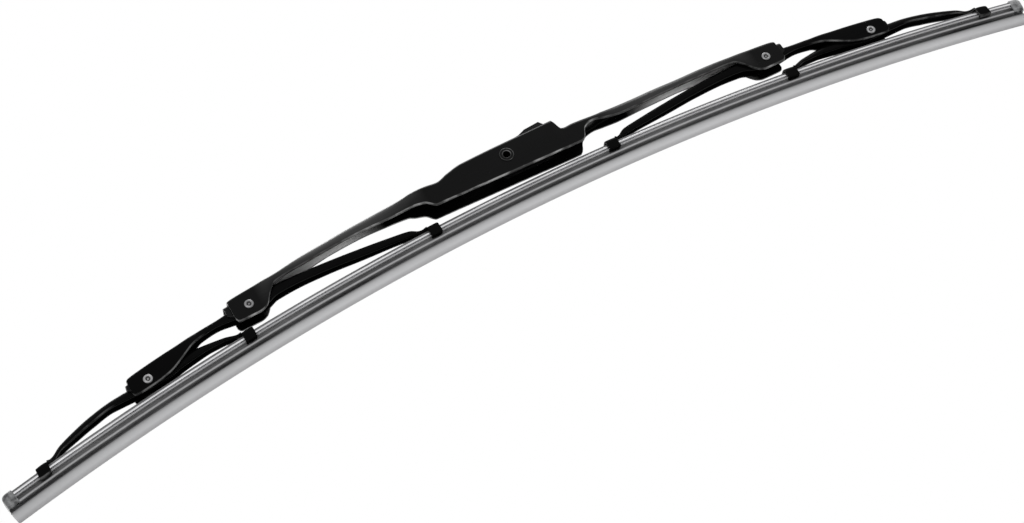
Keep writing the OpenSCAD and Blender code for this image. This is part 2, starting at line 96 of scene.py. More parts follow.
# Places and sizes in metres, power in watts
lamps = {
    "above": {"place": (0.25, 0.15, 1.0), "size": (1.8, 0.3), "power": 7},
    "front": {"place": (-0.6, -1.5, 0.02), "size": (1.5, 0.5), "power": 4},
    "back": {"place": (0.3, 1.5, 0.5), "size": (1.6, 0.8), "power": 3},
}


# Each lamp looks at the blade: its -Z axis runs from its place to the origin
def makeLamps():
    for name, lamp in lamps.items():
        data = bpy.data.lights.new(name, "AREA")
        data.shape = "RECTANGLE"
        data.size, data.size_y = lamp["size"]
        data.energy = lamp["power"]
        item = bpy.data.objects.new(name, data)
        item.location = lamp["place"]
        item.rotation_euler = (-Vector(lamp["place"])).to_track_quat("-Z", "Y").to_euler()
        scene.collection.objects.link(item)


def addNode(tree, kind, values=None, **settings):
    item = tree.nodes.new(kind)
    for key, value in settings.items():
        setattr(item, key, value)
    for key, value in (values or {}).items():
        item.inputs[key].default_value = value
    return item


world = {"ambient": 0.55, "white": (1, 1, 1, 1)}


# The background is white to the camera and to glossy and clear surfaces, and a softer light
# to the rest
def makeWorld():
    data = bpy.data.worlds.new("studio")
    data.use_nodes = True
    scene.world = data
    tree = data.node_tree
    tree.nodes.clear()
    path = addNode(tree, "ShaderNodeLightPath")
    seen = addNode(tree, "ShaderNodeMath", operation="MAXIMUM")
    either = addNode(tree, "ShaderNodeMath", operation="MAXIMUM")
    soft = addNode(tree, "ShaderNodeBackground", {"Color": world["white"], "Strength": world["ambient"]})
    white = addNode(tree, "ShaderNodeBackground", {"Color": world["white"]})
    mix = addNode(tree, "ShaderNodeMixShader")
    out = addNode(tree, "ShaderNodeOutputWorld")
    tree.links.new(path.outputs["Is Camera Ray"], seen.inputs[0])
    tree.links.new(path.outputs["Is Glossy Ray"], seen.inputs[1])
    tree.links.new(seen.outputs[0], either.inputs[0])
    tree.links.new(path.outputs["Is Transmission Ray"], either.inputs[1])
    tree.links.new(either.outputs[0], mix.inputs["Fac"])
    tree.links.new(soft.outputs[0], mix.inputs[1])
    tree.links.new(white.outputs[0], mix.inputs[2])
    tree.links.new(mix.outputs[0], out.inputs["Surface"])


# In metres; fade is where the rim starts and ends to clear, from the middle
floorPlan = {"half": 1.2, "gap": 0.0005, "color": (0.78, 0.78, 0.775, 1), "fade": (0.38, 0.95)}


# The blade floats over the floor, and the photograph looks up from below it, so the
# floor's underside lets the view through, and its rim fades into the white round it
def makeFloor():
    h = floorPlan["half"]
    low = cadBox[0][2] - floorPlan["gap"]
    mesh = bpy.data.meshes.new("floor")
    mesh.from_pydata([(-h, -h, low), (h, -h, low), (h, h, low), (-h, h, low)], [], [(0, 1, 2, 3)])
    floor = bpy.data.objects.new("floor", mesh)
    scene.collection.objects.link(floor)
    material = bpy.data.materials.new("floor_paint")
    material.use_nodes = True
    tree = material.node_tree
    tree.nodes.clear()
    start, end = floorPlan["fade"]
    side = addNode(tree, "ShaderNodeNewGeometry")
    place = addNode(tree, "ShaderNodeTexCoord")
    away = addNode(tree, "ShaderNodeVectorMath", operation="LENGTH")
    rim = addNode(tree, "ShaderNodeMapRange", {"From Min": start, "From Max": end},
                  interpolation_type="SMOOTHSTEP")
    clearer = addNode(tree, "ShaderNodeMath", operation="MAXIMUM")
    matt = addNode(tree, "ShaderNodeBsdfDiffuse", {"Color": floorPlan["color"]})
    clear = addNode(tree, "ShaderNodeBsdfTransparent")
    mix = addNode(tree, "ShaderNodeMixShader")
    out = addNode(tree, "ShaderNodeOutputMaterial")
    tree.links.new(place.outputs["Object"], away.inputs[0])
    tree.links.new(away.outputs["Value"], rim.inputs["Value"])
    tree.links.new(rim.outputs[0], clearer.inputs[0])
    tree.links.new(side.outputs["Backfacing"], clearer.inputs[1])
    tree.links.new(clearer.outputs[0], mix.inputs["Fac"])
    tree.links.new(matt.outputs[0], mix.inputs[1])
    tree.links.new(clear.outputs[0], mix.inputs[2])
    tree.links.new(mix.outputs[0], out.inputs["Surface"])
    mesh.materials.append(material)


makeCamera()
makeLamps()
makeWorld()
makeFloor()
scene.view_settings.view_transform = "Standard"
print("stage 2: camera, lamps, world and floor made")

# Noise of each kind: scale per metre along, across and up the blade, and detail
grains = {
    "patches": ((38, 60, 60), 3), "streaks": ((90, 900, 900), 4), "peel": ((850, 850, 850), 2),
    "rubs": ((160, 260, 260), 4), "drawn": ((9, 420, 420), 2),
    "steelPatches": ((55, 55, 55), 3), "steelLines": ((14, 600, 600), 3),
    "bloom": ((30, 160, 160), 4), "rubberSkin": ((60, 400, 400), 1),
    "stopCloud": ((480, 480, 480), 3), "stopSkin": ((700, 700, 700), 3),
}


def newMaterial(name, values):
    material = bpy.data.materials.new(name)
    material.use_nodes = True
    tree = material.node_tree
    tree.nodes.clear()
    shader = addNode(tree, "ShaderNodeBsdfPrincipled", values)
    out = addNode(tree, "ShaderNodeOutputMaterial")
    tree.links.new(shader.outputs[0], out.inputs["Surface"])
    place = addNode(tree, "ShaderNodeTexCoord")
    return material, tree, shader, place


# Noise in object coordinates, stretched by the grain's scale on each axis
def noiseOf(tree, place, grain):
    scale, detail = grains[grain]
    mapping = addNode(tree, "ShaderNodeMapping", {"Scale": scale})
    noise = addNode(tree, "ShaderNodeTexNoise", {"Scale": 1.0, "Detail": detail})
    tree.links.new(place.outputs["Object"], mapping.inputs["Vector"])
    tree.links.new(mapping.outputs[0], noise.inputs["Vector"])
    return noise.outputs["Fac"]


# Straight line from low to high as the value runs over the middle of the noise
def rangeOf(tree, value, low, high, start=0.3, end=0.7):
    item = addNode(tree, "ShaderNodeMapRange",
                   {"From Min": start, "From Max": end, "To Min": low, "To Max": high})
    tree.links.new(value, item.inputs["Value"])
    return item.outputs[0]


def rampOf(tree, value, stops):
    ramp = addNode(tree, "ShaderNodeValToRGB")
    elements = ramp.color_ramp.elements
    while len(elements) > 1:
        elements.remove(elements[0])
    for i, (at, color) in enumerate(stops):
        element = elements[0] if i == 0 else elements.new(at)
        element.position = at
        element.color = (*color, 1)
    tree.links.new(value, ramp.inputs["Fac"])
    return ramp.outputs["Color"]


def mixColors(tree, factor, a, b):
    item = addNode(tree, "ShaderNodeMix", data_type="RGBA")
    tree.links.new(factor, item.inputs[0])
    for socket, value in ((item.inputs[6], a), (item.inputs[7], b)):
        if isinstance(value, tuple):
            socket.default_value = (*value, 1)
        else:
            tree.links.new(value, socket)
    return item.outputs[2]


# One colour over another, by the mesh's value of that name times a broken one
def markedColor(tree, mark, broken, under, over):
    value = addNode(tree, "ShaderNodeAttribute", attribute_name=mark)
    share = addNode(tree, "ShaderNodeMath", operation="MULTIPLY")
    tree.links.new(value.outputs["Fac"], share.inputs[0])
    tree.links.new(broken, share.inputs[1])
    return mixColors(tree, share.outputs[0], under, over)


def bumpOf(tree, shader, value, strength, depth):
    bump = addNode(tree, "ShaderNodeBump", {"Strength": strength, "Distance": depth})
    tree.links.new(value, bump.inputs["Height"])
    tree.links.new(bump.outputs[0], shader.inputs["Normal"])


# Per finish: dark and light base colours, roughness range, specular level, peel bump, the lighter colour of
# the cut edges (partly worn paint, partly a painted highlight), coat weight, and the colour of the painted
# sheen and painted reflection
finishes = {
    "blackPaint": {"dark": 0.001, "light": 0.002, "rough": (0.24, 0.36), "specular": 0.05,
                   "peel": 0.05, "worn": 0.46, "coat": 0.35, "paintedSheenTone": 0.85},
    "leverPaint": {"dark": 0.001, "light": 0.002, "rough": (0.26, 0.38), "specular": 0.02,
                   "peel": 0.05, "worn": 0.46, "coat": 0.12, "paintedSheenTone": 0.3},
    "blackSteel": {"dark": 0.001, "light": 0.003, "rough": (0.2, 0.34), "specular": 0.07,
                   "peel": 0.05, "worn": 0.36, "coat": 0.3, "paintedSheenTone": 0.3},
    "adapterPlastic": {"dark": 0.003, "light": 0.007, "rough": (0.34, 0.48), "specular": 0.12,
                       "peel": 0.2, "worn": 0.05, "coat": 0, "paintedSheenTone": 0.1},
    "linerPlastic": {"dark": 0.002, "light": 0.005, "rough": (0.28, 0.40), "specular": 0.10,
                     "peel": 0.12, "worn": 0.04, "coat": 0, "paintedSheenTone": 0.1},
}
coating = {"ior": 1.2, "rough": 0.08, "peelDepth": 0.0003}


# Dark coating: colour drifts in soft patches, the surface has a fine peel; it is lighter where the mesh's
# edge mark is high, partly worn paint and partly a painted highlight on the cut edges, and paler where its
# sheen value is, a painted sheen and painted reflection
def darkFinish(name, finish):
    material, tree, shader, place = newMaterial(name, {
        "Specular IOR Level": finish["specular"], "Coat Weight": finish["coat"],
        "Coat IOR": coating["ior"], "Coat Roughness": coating["rough"]})
    d, l, w, s = finish["dark"], finish["light"], finish["worn"], finish["paintedSheenTone"]
    base = rampOf(tree, noiseOf(tree, place, "patches"), [(0.3, (d, d, d)), (0.7, (l, l, l * 1.05))])
    thin = rangeOf(tree, noiseOf(tree, place, "rubs"), 0.15, 1.0, 0.4, 0.62)
    rubbedAndEdgeLit = markedColor(tree, "worn", thin, base, (w, w, w))
    lines = rangeOf(tree, noiseOf(tree, place, "drawn"), 0.65, 1.0)
    tree.links.new(markedColor(tree, "pale", lines, rubbedAndEdgeLit, (s, s, s)), shader.inputs["Base Color"])
    streaks = noiseOf(tree, place, "streaks")
    tree.links.new(rangeOf(tree, streaks, *finish["rough"]), shader.inputs["Roughness"])
    bumpOf(tree, shader, noiseOf(tree, place, "peel"), finish["peel"], coating["peelDepth"])
    return material


metals = {
    "stripSteel": {"dark": 0.52, "light": 0.72, "rough": (0.24, 0.38)},
    "rivetSteel": {"dark": 0.20, "light": 0.36, "rough": (0.20, 0.34), "sunk": 0.03},
}


# Bright steel with drawing lines along the blade; a turned piece is dark where its mesh's
# edge mark is low
def metalFinish(name, finish):
    material, tree, shader, place = newMaterial(name, {"Metallic": 1})
    d, l = finish["dark"], finish["light"]
    lines = noiseOf(tree, place, "steelLines")
    base = rampOf(tree, noiseOf(tree, place, "steelPatches"),
                  [(0.32, (d, d, d * 1.02)), (0.68, (l, l, l * 1.01))])
    if "sunk" in finish:
        worn = addNode(tree, "ShaderNodeAttribute", attribute_name="worn")
        base = mixColors(tree, worn.outputs["Fac"], (finish["sunk"],) * 3, base)
    tree.links.new(base, shader.inputs["Base Color"])
    tree.links.new(rangeOf(tree, lines, *finish["rough"]), shader.inputs["Roughness"])
    bumpOf(tree, shader, lines, 0.06, 0.0001)
    return material


# Grey along the squeegee's section, by depth under the head's top as a share of depth in mm. The stops paint
# light and shade
# in bands: a painted highlight on the head just under the strips, painted shade down the neck groove, a
# painted highlight on the shoulder's lower part, a deep painted shadow in the hinge under it, and a light lip
# that is a painted reflection, darker again towards the wiping edge
rubber = {"depth": 12.2, "rough": (0.34, 0.5), "specular": 0.4, "dust": (0.55, 0.55, 0.56), "dusty": 0.24,
          "stops": [(0.0, 0.155), (0.10, 0.093), (0.2, 0.682), (0.25, 0.434), (0.262, 0.062), (0.40, 0.062),
                    (0.43, 0.186), (0.455, 0.372), (0.49, 0.403), (0.504, 0.186), (0.512, 0.023),
                    (0.575, 0.023), (0.60, 0.109), (0.64, 0.202), (0.68, 0.398), (0.72, 0.529), (0.77, 0.625),
                    (0.82, 0.681), (0.86, 0.7), (0.90, 0.625), (0.95, 0.529), (1.0, 0.473)]}


# Rubber: its tone goes by the mesh's "deep" value, through the painted bands of light and shade above, under
# a dusty bloom
def rubberFinish():
    material, tree, shader, place = newMaterial("squeegee_rubber", {"Specular IOR Level": rubber["specular"]})
    deep = addNode(tree, "ShaderNodeAttribute", attribute_name="deep")
    tone = rampOf(tree, deep.outputs["Fac"], [(at, (g, g, g * 1.02)) for at, g in rubber["stops"]])
    bloom = noiseOf(tree, place, "bloom")
    dusty = mixColors(tree, rangeOf(tree, bloom, 0.0, rubber["dusty"]), tone, rubber["dust"])
    tree.links.new(dusty, shader.inputs["Base Color"])
    tree.links.new(rangeOf(tree, bloom, *rubber["rough"]), shader.inputs["Roughness"])
    bumpOf(tree, shader, noiseOf(tree, place, "rubberSkin"), 0.05, 0.0002)
    return material


stopTone = {"dark": (0.035, 0.036, 0.038), "light": (0.25, 0.255, 0.26), "rough": (0.16, 0.3),
            "clear": 0.1, "coat": 0.3, "coatRough": 0.12}


# Moulded stops: cloudy grey and a little clear
def stopFinish():
    material, tree, shader, place = newMaterial("stop_rubber", {
        "Transmission Weight": stopTone["clear"], "Coat Weight": stopTone["coat"],
        "Coat Roughness": stopTone["coatRough"]})
    cloud = noiseOf(tree, place, "stopCloud")
    tone = rampOf(tree, cloud, [(0.38, stopTone["dark"]), (0.62, stopTone["light"])])
    tree.links.new(tone, shader.inputs["Base Color"])
    tree.links.new(rangeOf(tree, cloud, *stopTone["rough"]), shader.inputs["Roughness"])
    bumpOf(tree, shader, noiseOf(tree, place, "stopSkin"), 0.08, 0.0003)
    return material


materials = {name: darkFinish(name, finish) for name, finish in finishes.items()}
materials.update({name: metalFinish(name, finish) for name, finish in metals.items()})
materials["rubber"] = rubberFinish()
materials["stop"] = stopFinish()
print("stage 3: materials made")


# Closed rings of points (ring, point, xyz) joined into a skin, with a fan cap at both ends.
# Each of marks is a value per point, kept on the mesh by its name
def ringMesh(name, rings, loop=False, **marks):
    count, around = rings.shape[:2]
    vertices = rings.reshape(-1, 3) * mm
    i, j = np.meshgrid(np.arange(count if loop else count - 1), np.arange(around), indexing="ij")
    i2, j2 = (i + 1) % count, (j + 1) % around
    quads = np.stack([i * around + j, i * around + j2, i2 * around + j2, i2 * around + j], -1)
    faces = quads.reshape(-1, 4).tolist()
    if not loop:
        faces.append(list(range(around))[::-1])
        faces.append(list(range((count - 1) * around, count * around)))
    mesh = bpy.data.meshes.new(name)
    mesh.from_pydata(vertices.tolist(), [], faces)
    for key, values in marks.items():
        if values is not None:
            flat = np.broadcast_to(values, (count, around)).reshape(-1).astype(np.float32)
            mesh.attributes.new(key, "FLOAT", "POINT").data.foreach_set("value", flat)
    return mesh


def addPiece(name, mesh, material, sharp):
    mesh.validate()
    mesh.shade_smooth()
    mesh.set_sharp_from_angle(angle=math.radians(sharp))
    mesh.materials.clear()
    mesh.materials.append(material)
    piece = bpy.data.objects.new(name, mesh)
    scene.collection.objects.link(piece)
    return piece


# Rows keyed at x, read at any x with a monotone cubic: harmonic-mean slopes, Hermite between
def keyedRows(rows, x):
    keys = rows[:, 0]
    secant = np.diff(rows, axis=0)[:, 1:] / np.diff(keys)[:, None]
    product = secant[:-1] * secant[1:]
    total = np.where(product > 0, secant[:-1] + secant[1:], 1)
    slopes = np.vstack([secant[:1], np.where(product > 0, 2 * product / total, 0), secant[-1:]])
    i = np.clip(np.searchsorted(keys, x, side="right") - 1, 0, len(keys) - 2)
    d = (keys[i + 1] - keys[i])[:, None]
    t = ((x - keys[i])[:, None]) / d
    return (rows[i, 1:] * (2 * t ** 3 - 3 * t ** 2 + 1) + slopes[i] * d * (t ** 3 - 2 * t ** 2 + t)
            + rows[i + 1, 1:] * (3 * t ** 2 - 2 * t ** 3) + slopes[i + 1] * d * (t ** 3 - t ** 2))


# narrow is the half width where an arm's bend starts to grow, and over how much less it grows
sheet = {"bend": 1.8, "armBend": 3.0, "narrow": (4.6, 1.4), "hem": 0.1, "edge": 0.28, "jawIn": 1.825,
         "jaw": 0.8, "steps": 10, "pitch": 0.8, "most": 14}


# Section of a folded channel at each station: outer outline up and over, then the inner one
# back; (y, z) = centre + r (cos a, sin a) along each bend, and r shrinks with a low section.
# A round channel's bend grows to armBend where it is narrow
def channelRings(rows, x, thickness, rounded):
    half, top, low, jaw = keyedRows(rows, x).T
    wide, over = sheet["narrow"]
    narrow = np.clip((wide - half) / over, 0, 1) if rounded else 0
    r = sheet["bend"] + (sheet["armBend"] - sheet["bend"]) * narrow
    r = np.minimum(np.minimum(r, half - 0.05), top - low - sheet["hem"] - 0.1)
    ri = np.maximum(sheet["hem"], r - thickness)
    tip = (half - thickness - 0.06) * (1 - jaw) + sheet["jawIn"] * jaw
    lip = low + sheet["hem"] * (1 - jaw) + sheet["jaw"] * jaw
    edge = np.minimum(sheet["edge"], (top - low - r) * 0.45)
    angles = np.linspace(0, math.pi / 2, sheet["steps"] + 1)
    inY, inZ = half - thickness, top - thickness - ri
    # points of the near half as (y, z, edge mark); the mark lightens the low cut edge, partly worn paint and
    # partly a painted highlight
    outer = [(half * 0 + tip, low, 0.4), (half - edge, low, 1.0), (half - 0.3 * edge, low + 0.3 * edge, 1.0),
             (half, low + edge, 1.0), (half, low + 2.4 * edge, 0.0)]
    outer += [(half - r + r * math.cos(a), top - r + r * math.sin(a), 0.0) for a in angles]
    inner = [(inY - ri + ri * math.cos(a), inZ + ri * math.sin(a), 0.0) for a in angles[::-1]]
    inner += [(inY, np.minimum(lip, inZ), 0.0), (tip, lip, 0.2)]
    outside = outer + [(0 * x, *outer[-1][1:])] + [(-y, z, w) for y, z, w in outer[::-1]]
    run = outside + [(-y, z, w) for y, z, w in inner[::-1]] + [(0 * x, *inner[0][1:])] + inner
    ys, zs = (np.stack([np.broadcast_to(p[k], x.shape) for p in run], 1) for k in (0, 1))
    worn = np.array([p[2] for p in run])
    xs = np.broadcast_to(x[:, None], ys.shape)
    inside = np.arange(len(run)) >= len(outside)
    high = np.clip((zs - low[:, None]) / (top - low)[:, None], 0, 1)
    return np.stack([xs, ys, zs], -1)[:, ::-1], worn[::-1], inside[::-1], high[:, ::-1]


# Stations between two rows are about a pitch apart, or more where there would be over the most
def stationsOf(keys):
    runs = []
    for a, b in zip(keys[:-1], keys[1:]):
        count = max(2, min(sheet["most"], int((b - a) / sheet["pitch"]) + 2))
        runs.append(np.linspace(a, b, count)[:-1])
    return np.concatenate(runs + [keys[-1:]])


# Painted sheen between the two places in reach: on times (flank + top h^3) outside, a painted highlight
# growing up the flank to the upper bend, with h from the low edge to the top and the crown left darker, and
# on times inside within, a painted reflection on the inside, fading in at from
def paintedSheenOf(pale, x, inside, high):
    start, end = pale["reach"]
    first, over = pale["from"]
    away = np.abs(x)
    on = np.clip((away - start) / pale["fade"], 0, 1) * np.clip((end - away) / pale["fade"], 0, 1)
    within = pale["inside"] * on * np.clip((away - first) / over, 0, 1)
    share, at, rise = pale["crown"]
    crown = 1 - share * np.clip((high - at) / rise, 0, 1)
    outside = on[:, None] * (pale["flank"] + pale["top"] * high ** 3 * crown)
    return np.where(inside, within[:, None], outside)


# A channel's section carried along its stations. The edge mark is highest along the cut edges, times the
# share given between its places; it lightens them, partly as worn paint and partly as a painted highlight
def channelMesh(name, rows, thickness, highlightAndWearShare, left=False, rounded=False, pale=None):
    rows = np.array(rows, float)
    x = stationsOf(rows[:, 0])
    rings, worn, inside, high = channelRings(rows, x, thickness, rounded)
    worn = worn * np.interp(x, *zip(*highlightAndWearShare))[:, None]
    if left:
        rings, worn = rings[::-1] * (-1, 1, 1), worn[::-1]
    return ringMesh(name, rings, worn=worn, pale=paintedSheenOf(pale, x, inside, high) if pale else None)


bar = {"reach": 8, "faces": 48}


# Round bar across the blade about (x, z), as rings of r (cos a, sin a)
def barMesh(x, z, r):
    a = np.linspace(0, 2 * math.pi, bar["faces"], endpoint=False)
    ring = np.stack([x + r * np.cos(a), 0 * a, z + r * np.sin(a)], -1)
    return ringMesh("bar", np.stack([ring + (0, bar["reach"], 0), ring - (0, bar["reach"], 0)]))


# Box between two corners, as the same rectangle at both ends
def boxMesh(low, high):
    (x0, y0, z0), (x1, y1, z1) = low, high
    ring = np.array([[x0, y0, z0], [x0, y1, z0], [x0, y1, z1], [x0, y0, z1]], float)
    return ringMesh("box", np.stack([ring, ring + (x1 - x0, 0, 0)]))


# Difference of a mesh and its cutters, with the result kept as a plain mesh
def cutMesh(mesh, cutters):
    target = bpy.data.objects.new("target", mesh)
    scene.collection.objects.link(target)
    tools = []
    for cutter in cutters:
        tool = bpy.data.objects.new("tool", cutter)
        scene.collection.objects.link(tool)
        tools.append(tool)
        step = target.modifiers.new("cut", "BOOLEAN")
        step.operation = "DIFFERENCE"
        step.solver = "EXACT"
        step.object = tool
    graph = bpy.context.evaluated_depsgraph_get()
    result = bpy.data.meshes.new_from_object(target.evaluated_get(graph))
    for item in [target] + tools:
        bpy.data.objects.remove(item)
    return result


# The rows of a channel are [x, half width, top, low edge, jaw], from left to right, where a
# jaw of 1 turns the edges in under the strips
claw = {"length": 5.2, "half": 4.5, "roof": 3.1, "roofLow": 2.2, "low": -2.25, "ease": 0.15,
        "easeOver": 0.5, "gap": 0.03}


# Claw at x: its roof and jaws follow the strips' height, eased at both ends
def clawRows(x):
    e, ease, over = claw["length"] / 2, claw["ease"], claw["easeOver"]
    rows = []
    for d, drop in ((-e, ease), (over - e, 0), (e - over, 0), (e, ease)):
        z = stripZ(x + d)
        rows.append([x + d, claw["half"], z + claw["roof"] - drop, z + claw["low"] + drop, 1])
    return rows


# Neck on one side of a claw: the jaws stop, and over 3 mm the half width goes from the claw's
# to the arm's while the top rises
def neckRows(x, side, half, rise):
    e, d = x + side * claw["length"] / 2, side * claw["gap"]
    z = stripZ(e)
    roof, low = z + claw["roof"], z + claw["roofLow"]
    return [[e + d, claw["half"], roof, z + claw["low"] + claw["ease"], 0],
            [e + 2 * d, claw["half"], roof, low, 0],
            [e + side * 1.4, claw["half"] * 0.3 + half * 0.7, roof + 0.4 * rise, low + 0.1, 0],
            [e + side * 3, half, roof + rise, low + 0.3, 0]]


# The same rows on the left
def flipped(rows):
    return [[-r[0], *r[1:]] for r in rows[::-1]]


# The edge shares give how strongly the cut edges are lightened at places along the bridge, partly worn paint
# and partly a painted highlight. The sheen entry paints a sheen on the arms and a reflection inside them:
# from is where the inside's painted reflection starts and over what length it comes in, and crown is how much
# darker the crown is, from which share of the height, and over what share
bridge = {"thickness": 1.0, "hubHalf": 6.5, "armHalf": 3.3, "armDeep": 3.8, "armArch": 2.8,
          "plateHalf": 4.8, "plateEnd": 136.2, "hubUp": 6.6, "hubDown": 8.5, "hubSlope": 0.032,
          "window": (-19, 27), "pin": 2.4, "leftArm": (42, 4), "rightArm": (41, 0.6),
          "highlightAndWearShare": ((-127, 1), (-121, 0.2), (-92, 0.2), (-60, 1), (39, 1), (46, 0.2), (121, 0.2), (127, 1)),
          "pale": {"reach": (40, 124), "fade": 30, "inside": 1.0, "from": (60, 20), "flank": 0.05,
                   "top": 0.35, "crown": (0.75, 0.92, 0.06)}}
armEnd = (pivots["innerRivet"] - 14.5, zInner + 8.3)


# Arm from the hub to the plates at shares s of its length: its top lies on the straight line
# plus arch s (1 - s) plus rise sin(pi s)
def armRows(start, deeper, rise):
    rows, thin, wide = [], bridge["armHalf"], bridge["plateHalf"]
    for s, half, extra in ((0.1, 4.6, deeper[0]), (0.22, thin + 0.4, deeper[1]), (0.4, thin, 0.5),
                           (0.6, thin, 0), (0.8, thin * 0.45 + wide * 0.55, 0)):
        x, line = (start[k] * (1 - s) + armEnd[k] * s for k in (0, 1))
        top = line + bridge["armArch"] * s * (1 - s)
        up = rise * math.sin(math.pi * s)
        rows.append([x, half, top + up, top + 0.3 * up - bridge["armDeep"] - extra, 0])
    return rows


# Plates around the inner rivets, and the hub, whose walls reach down by hubDown + slope x. The
# whole bridge is plates, arm, hub, arm and plates
def bridgeRows():
    x, z, low = pivots["innerRivet"], zInner, zInner - 5.4
    p, end = bridge["plateHalf"], bridge["plateEnd"]
    plates = [[armEnd[0], p, armEnd[1], armEnd[1] - bridge["armDeep"], 0],
              [x - 10.5, p, z + 8, low + 6.6, 0], [x - 8.3, p, z + 7.8, low + 3.6, 0],
              [x - 5.8, p, z + 7.5, low + 1.1, 0], [x - 2.5, p, z + 7.2, low + 0.1, 0],
              [end - 2, p, z + 6.3, low, 0], [end - 0.7, p, z + 6, low + 0.4, 0],
              [end, p, z + 5.7, low + 1.6, 0]]
    h, up, (a, b) = bridge["hubHalf"], bridge["hubUp"], bridge["window"]
    left, right = bridge["leftArm"][1], bridge["rightArm"][1]

    def wall(at, top, less=0):
        return [at, h, top, -bridge["hubDown"] - bridge["hubSlope"] * at + less, 0]

    hub = [[-46, h - 0.6, left, -2.9, 0], [-42, h - 0.2, left, -4, 0], wall(-38, left - 0.3),
           wall(-33, left - 0.9), wall(-27, up - 1.8), wall(a, up - 0.3), wall(0, up), wall(b - 1.2, up),
           wall(b + 0.6, right + 0.7), wall(b + 2.5, right + 0.1), wall(33, right + 0.3, 0.1),
           [34.6, h, right + 0.2, -8.4, 0], [37, h - 0.1, right + 0.1, -4.4, 0],
           [40.5, h - 0.5, right, -2.4, 0], [43.5, h - 1, right, -2.1, 0]]
    leftArm = flipped(armRows(bridge["leftArm"], (2.2, 1.6), 1.5))
    return plates, flipped(plates) + leftArm + hub + armRows(bridge["rightArm"], (-0.2, 0.8), 0.9) + plates


innerLever = {"thickness": 0.9, "half": 3.1, "plateHalf": 4.6, "plateEnd": 186.9,
              "highlightAndWearShare": ((150, 0), (158, 0.4))}


# Inner lever from its claw over the inner rivet to its plates: along gives heights over the
# strips' bow, which leaves them by the rivet's height times the share of the way
def innerRows():
    c, x, o, z, w = pivots["innerIn"], pivots["innerRivet"], pivots["outerRivet"], zInner, zOuter
    h, s, p, e = innerLever["half"], innerLever["half"] - 0.9, innerLever["plateHalf"], innerLever["plateEnd"]
    zc = stripZ(c)
    n = c + claw["length"] / 2 + 3

    def along(share, half, up, down):
        at = n + (x - n) * share
        middle = stripZ(at) + heights["innerRivet"] * share
        return [at, half, middle + up, middle + down]

    return clawRows(c) + neckRows(c, 1, s, 1.1) + [[*r, 0] for r in (
        [n + (x - n) * 0.047, s, zc + 6.1, zc + 2.9], along(0.124, s, 6.2, 2.7),
        along(0.328, s + 0.2, 6.3, 2.2), along(0.533, s + 0.4, 6.2, 2.1), along(0.69, s + 0.6, 5.9, 1.6),
        along(0.834, h, 5.3, 0.3), along(0.911, h, 4.6, -2.1), [x, h, z + 3.5, z - 3.1],
        [x + 7, h, z + 2.4, z - 2.6], [x + 15, s + 0.6, z + 1.3, z - 1.9], [o - 27, s + 0.7, w + 11, w + 7.6],
        [o - 23.5, p - 0.8, w + 10.2, w + 6.3], [o - 21, p - 0.2, w + 9.6, w + 4.9],
        [o - 18, p, w + 9, w + 3.1], [o - 9, p, w + 7.7, w - 1.5], [o, p, w + 6.2, w - 3.5],
        [e - 1.6, p, w + 4.9, w - 4.2], [e - 0.5, p, w + 4.4, w - 3.9], [e, p, w + 3.8, w - 3.2])]


outerLever = {"thickness": 0.9, "half": 3.0, "highlightAndWearShare": ((195, 0), (203, 0.3))}


# Outer lever from one claw to the other: heights are over the outer rivet in its middle, and
# over the strips next to the claws
def outerRows():
    a, o, t, w, h = pivots["outerIn"], pivots["outerRivet"], pivots["tip"], zOuter, outerLever["half"]
    s = h - 0.5

    def over(x, half, up, down):
        return [x, half, stripZ(x) + up, stripZ(x) + down]

    return clawRows(a) + neckRows(a, 1, s, 1.3) + [[*r, 0] for r in (
        over(a + 9.5, s, 6.2, 4.2), [a + 15.5, s + 0.1, w + 4.4, w + 1.4],
        [o - 21, h - 0.2, w + 4.8, w + 0.3], [o - 14, h, w + 4.6, w - 1], [o - 7, h, w + 3.6, w - 2.9],
        [o, h, w + 2.6, w - 3.3], [o + 7, h, w + 1.3, w - 3.3], [o + 17, h - 0.1, w + 0.2, w - 3.4],
        [o + 27, h - 0.2, w - 2, w - 5.6], over(t - 17, h - 0.3, 8.1, 4.8),
        over(t - 9.5, s + 0.1, 6.3, 3.7))] + neckRows(t, -1, s, 1.8)[::-1] + clawRows(t)


rivets = {"shank": 1.6, "play": 0.05, "head": 2.1, "high": 0.6}
plateRows, allRows = bridgeRows()
leverRows, archRows = innerRows(), outerRows()


def makeBridge():
    t, h, (a, b) = bridge["thickness"], bridge["hubHalf"], bridge["window"]
    # Only the bridge carries the painted sheen on its arms and the painted reflection inside them
    mesh = channelMesh("bridge_sheet", allRows, t, bridge["highlightAndWearShare"], rounded=True, pale=bridge["pale"])
    cuts = [boxMesh((a, t - h, -0.6), (b, h - t, bridge["hubUp"] + 2)), barMesh(0, 0, bridge["pin"])]
    cuts += [barMesh(sign * pivots["innerRivet"], zInner, rivets["shank"]) for side, sign in bothSides]
    piece = addPiece("bridge_sheet", cutMesh(mesh, cuts), materials["blackPaint"], 32)
    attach(piece, "bridge")
    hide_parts("primary_bridge")


